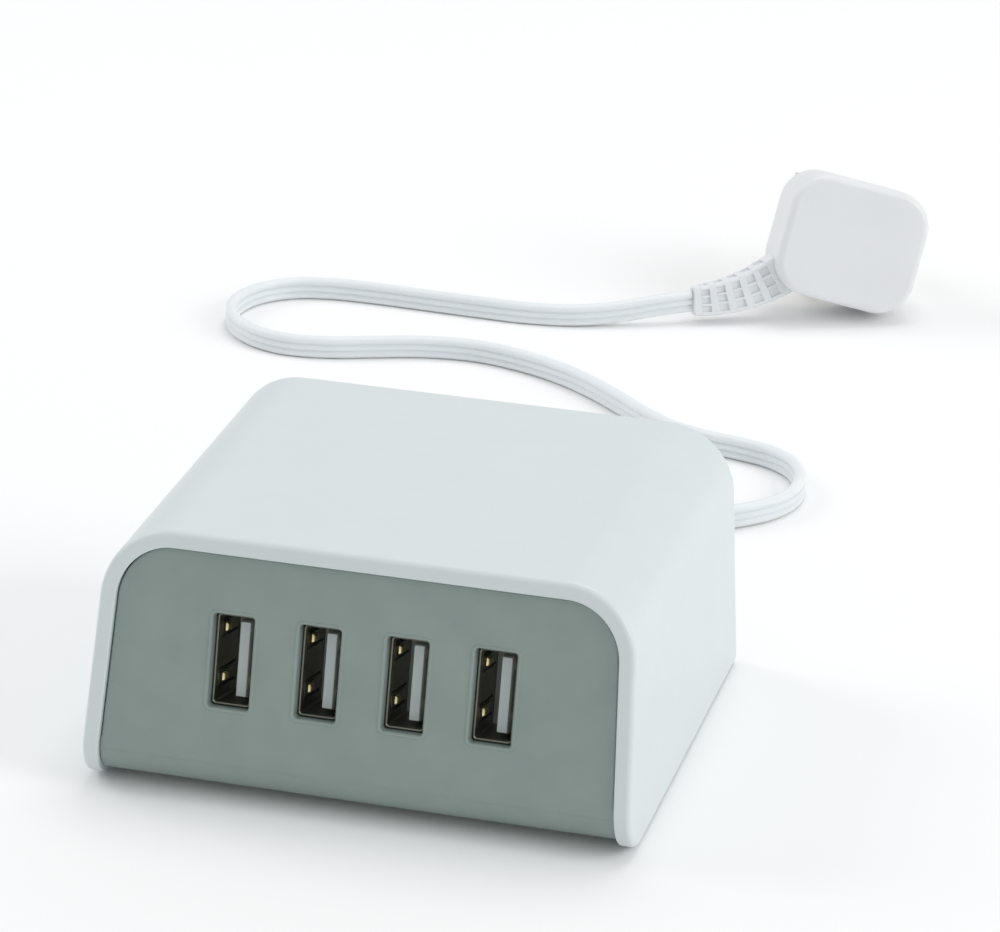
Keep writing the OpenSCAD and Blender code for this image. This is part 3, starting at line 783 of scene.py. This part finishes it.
def on_slope():
    """Matrix from the front's frame, X across, Y inwards and Z up the slope, to the charger's frame."""
    return Matrix.Translation((0, FOOT_Y, LOW_Z)) @ Matrix.Rotation(-FRONT_LEAN, 4, "X")


def port_x(port):
    """Middle of a port, with the row centred on the case."""
    return (port - (len(PORTS) + 1) / 2) * PORT_PITCH


def slot_edge():
    """(grow, depth) round a port's slot: a low raised lip, a soft edge, then the slot's wall."""
    pairs = [(0.56, 0), (0.52, -0.06), (0.44, -0.11), (0.32, -0.12), (0.18, -0.06), (0.06, 0.08), (0, 0.3)]
    return [(grow * MM, PANEL_RECESS + depth * MM) for grow, depth in pairs] + [(0, PANEL_RECESS + PANEL_T)]


def make_panel(materials):
    """Grey panel with a slot for each port and a lower edge that rolls under."""
    place = on_slope()
    inset = WALL + PANEL_GAP

    def flat_outline(soft, depth):
        """Outline of the flat part, from the top of the roll up."""
        y, z = roll(depth)[-1]
        right = [Vector((side_x(z, inset + soft), y, z))]
        right += [Vector((x, front_y(z, depth), z)) for x, z in corner(inset + soft)]
        return mirrored(right)

    def slot(port):
        def ring(grow, depth):
            rect = rounded_rect(SLOT[0] + 2 * grow, SLOT[1] + 2 * grow, 0.45 * MM + grow, 5)
            return [place @ Vector((port_x(port) + x, depth, PORT_S + s)) for x, s in rect]
        return ring

    shape = Shape()
    edge = fillet(0.25 * MM, 4, PANEL_RECESS)
    back = PANEL_RECESS + PANEL_T
    shape.plate(flat_outline, [slot(port) for port in PORTS], edge + [(0, back)], slot_edge())

    # The rolled lower edge, seen from the side, with a faint moulding line just below the flat part
    end_y = ROLL_Y + 1.5 * MM
    moulding_line = 16
    proud = 0.04 * MM
    side = [(end_y, LOW_Z + PANEL_RECESS)]
    for k, (y, z) in enumerate(roll(PANEL_RECESS)):
        side.append((y, z))
        if k == moulding_line:
            side += [(y - proud, z + 0.02 * MM), (y - proud, z + 0.14 * MM), (y, z + 0.2 * MM)]
    side += roll(back)[::-1] + [(end_y, LOW_Z + back)]
    shape.loft([[Vector((sign * side_x(z, inset), y, z)) for y, z in side] for sign in (-1, 1)])
    settle(shape.build("grey_panel", materials["panel_grey"], 32), "panel_grey", "front_panel")


def port_place(port):
    """Matrix from a port's own frame, on the slope and about its middle, to the charger's frame."""
    return on_slope() @ Matrix.Translation((port_x(port), 0, PORT_S))


def make_receptacle(port, materials):
    """Folded steel shell of one port, open at the front."""
    place = port_place(port)
    outer = (USB_IN[0] + 2 * USB_WALL, USB_IN[1] + 2 * USB_WALL)

    def ring(size, radius, depth):
        return [place @ Vector((x, depth, s)) for x, s in rounded_rect(*size, radius, 4)]

    soft = 0.14 * MM
    back = USB_FRONT + USB_LENGTH
    rings = [
        ring(outer, 0.6 * MM, back),
        ring(outer, 0.6 * MM, USB_FRONT + soft),
        ring((outer[0] - 2 * soft, outer[1] - 2 * soft), 0.5 * MM, USB_FRONT),
        ring((USB_IN[0] + 2 * soft, USB_IN[1] + 2 * soft), 0.45 * MM, USB_FRONT),
        ring(USB_IN, 0.35 * MM, USB_FRONT + soft),
        ring(USB_IN, 0.35 * MM, back - USB_WALL),
    ]
    shape = Shape()
    shape.loft(rings)
    settle(
        shape.build(f"port_shell_{port}", materials["port_steel"]), "port_steel", f"usb_shell_{port}")


def spring_leaf(put):
    """One leaf spring, bent a little out of the wall and narrower at its front end."""
    rings = []
    for along, rise in ((1.8, 0.02), (2.1, 0.1), (2.6, 0.2), (4.6, 0.24), (6.6, 0.16), (8.6, 0.02)):
        half = SPRING_W / 2 - 0.1 * MM * (along < 2.2)
        near = rise * MM
        far = near - SPRING_T
        rings.append([put(out, along * MM, v) for out, v in (
            (near, -half), (near, half), (far, half), (far, -half))])
    return rings


def spring_bump(put):
    """Contact bump on a spring: rounded rectangles that get smaller as they rise."""
    rings = []
    for inset, rise in ((0, 0.18), (0.06, 0.4), (0.16, 0.58), (0.3, 0.68), (0.44, 0.72)):
        size = [side - 2 * inset * MM for side in BUMP]
        rings.append([put(rise * MM, BUMP_Y + y, v) for y, v in rounded_rect(*size, 0.2 * MM, 3)])
    return rings


def slot_shade_strip(put, edge):
    """Painted shade for the slot beside a spring: a thin black strip on the wall stands in for the shade
    seen through the cut.
    """
    near, far = edge * 0.62 * SPRING_W, edge * 0.86 * SPRING_W
    strip = 0.03 * MM
    outline = ((0, near), (0, far), (strip, far), (strip, near))
    return [[put(out, along, v) for out, v in outline] for along in (1.6 * MM, 9 * MM)]


def make_springs(materials):
    """Two leaf springs in each wide wall of every port, with their bumps and their slots. The bumps are
    brass against the leaves' dark steel, a painted highlight, and each slot is a black strip of painted
    shade.
    """
    leaves, bumps, slot_shade = Shape(), Shape(), Shape()
    for port in PORTS:
        for side in (-1, 1):
            for s in SPRING_S:
                def put(out, along, v):
                    """Point out of the wall, along the port from its front edge, and up from the spring."""
                    x = side * (USB_IN[0] / 2 - out)
                    return port_place(port) @ Vector((x, USB_FRONT + along, s + v))

                leaves.loft(spring_leaf(put))
                bumps.loft(spring_bump(put))
                for edge in (-1, 1):
                    slot_shade.loft(slot_shade_strip(put, edge))
    settle(leaves.build("port_springs", materials["port_steel"], 60), "port_steel")
    # Painted highlight: the bumps are brass though each is part of a steel leaf
    settle(bumps.build("port_spring_bumps", materials["spring_brass"], 60), "port_steel")
    # Painted shade: black strips on the wall in place of the dark seen through each spring's slot
    settle(slot_shade.build("port_spring_slot_shade", materials["chip_black"]), "port_steel")


def make_tongue(port, materials):
    """Insulator of one port: the block at the back and the tongue with its softened tip."""
    place = port_place(port)

    def ring(centre_x, size, depth):
        return [place @ Vector((centre_x + x, depth, s)) for x, s in rounded_rect(*size, 0.15 * MM, 3)]

    tongue = []
    for cut, depth in ((0.6, 0), (0.42, 0.04), (0.34, 0.12), (0, 0.9)):
        size = [side - cut * MM for side in TONGUE]
        tongue.append(ring(TONGUE_MIDDLE, size, TONGUE_FRONT + depth * MM))
    tongue.append(ring(TONGUE_MIDDLE, TONGUE, INSULATOR_FRONT + 0.2 * MM))
    block = [side - 0.1 * MM for side in USB_IN]
    shape = Shape()
    shape.loft(tongue)
    shape.loft([ring(0, block, INSULATOR_FRONT + depth) for depth in (0, INSULATOR_T)])
    settle(
        shape.build(f"port_tongue_{port}", materials["port_insulator"]),
        "port_insulator", f"usb_tongue_{port}")


def make_contacts(port, materials):
    """Four gold contacts on the tongue's left face, bowed a little away from it."""
    place = port_place(port)
    half = CONTACT_W / 2
    steps = 8
    shape = Shape()
    for s in CONTACT_S:
        rings = []
        for k in range(steps + 1):
            depth = INSULATOR_FRONT - CONTACT_L * k / steps
            rise = 0.1 * MM + 0.12 * MM * math.sin(math.pi * k / steps)
            rings.append([place @ Vector((TONGUE_X - x, depth, s + v)) for x, v in (
                (0, -half), (0, half), (rise, half), (rise, -half))])
        shape.loft(rings)
    settle(
        shape.build(f"port_contacts_{port}", materials["contact_gold"], 50), "contact_gold",
        f"usb_contacts_{port}")


def make_base(materials):
    """Base plate with softened edges and a well for each screw."""
    low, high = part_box("base_plate")
    middle_y = (low.y + high.y) / 2
    thickness = 2 * MM
    well_r = 2.9 * MM
    edge = 0.3 * MM

    def outline(inset, depth):
        width, length = high.x - low.x - 2 * inset, high.y - low.y - 2 * inset
        rect = rounded_rect(width, length, 0.6 * MM, 4)
        return [Vector((x, middle_y + y, low.z + depth)) for x, y in rect]

    def well(centre):
        def ring(grow, depth):
            return [centre + Vector((x, y, low.z + depth)) for x, y in circle(well_r + grow, 32)]
        return ring

    wells = [well(centre) for centre in cad_centres("case_screws")]
    shape = Shape()
    shape.plate(
        outline, wells, fillet(edge, 3) + [(0, thickness)], [(edge, 0), (0, edge), (0, thickness)])
    settle(shape.build("case_base", materials["base_white"]), "base_white", "base_plate")


def cad_centres(node):
    """Middle in plan of each solid of a CAD node."""
    made = bmesh.new()
    made.from_mesh(frame["nodes"][node].data)
    bmesh.ops.remove_doubles(made, verts=made.verts, dist=1e-6)
    left = set(made.verts)
    centres = []
    while left:
        group, queue = set(), [left.pop()]
        while queue:
            vert = queue.pop()
            group.add(vert)
            near = {edge.other_vert(vert) for edge in vert.link_edges} & left
            left -= near
            queue += near
        xs, ys = [v.co.x for v in group], [v.co.y for v in group]
        centres.append(Vector(((min(xs) + max(xs)) / 2, (min(ys) + max(ys)) / 2, 0)))
    made.free()
    return sorted(centres, key=lambda c: (round(c.x, 4), round(c.y, 4)))


def make_feet(materials):
    """Round feet, dished underneath with a soft lip. The profile is (radius, height) in mm."""
    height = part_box("rubber_feet")[1].z / MM
    profile = [(3.2, 0.12), (3.5, 0), (3.75, 0.03), (3.95, 0.16), (4.0, 0.35), (4.0, height)]
    shape = Shape()
    for centre in cad_centres("rubber_feet"):
        shape.loft([
            [centre + Vector((x, y, z * MM)) for x, y in circle(r * MM, 40)] for r, z in profile])
    settle(shape.build("feet", materials["foot_rubber"]), "foot_rubber", "rubber_feet")


# ---------- parts that stay as the CAD has them ----------


def dress_cad_nodes(materials):
    """Gives every CAD node that is still seen its own material."""
    for part in frame["record"]["subparts"]:
        node = frame["nodes"][part["node"]]
        if node.hide_render:
            continue
        node.data.materials.clear()
        node.data.materials.append(materials[part["material_slot"]])


make_camera()
materials = make_materials()
make_cord(materials, [make_bushing(materials), *make_plug(materials)])
make_studio()
make_shell(materials)
make_panel(materials)
make_base(materials)
make_feet(materials)
for port in PORTS:
    make_receptacle(port, materials)
    make_tongue(port, materials)
    make_contacts(port, materials)
make_springs(materials)
dress_cad_nodes(materials)
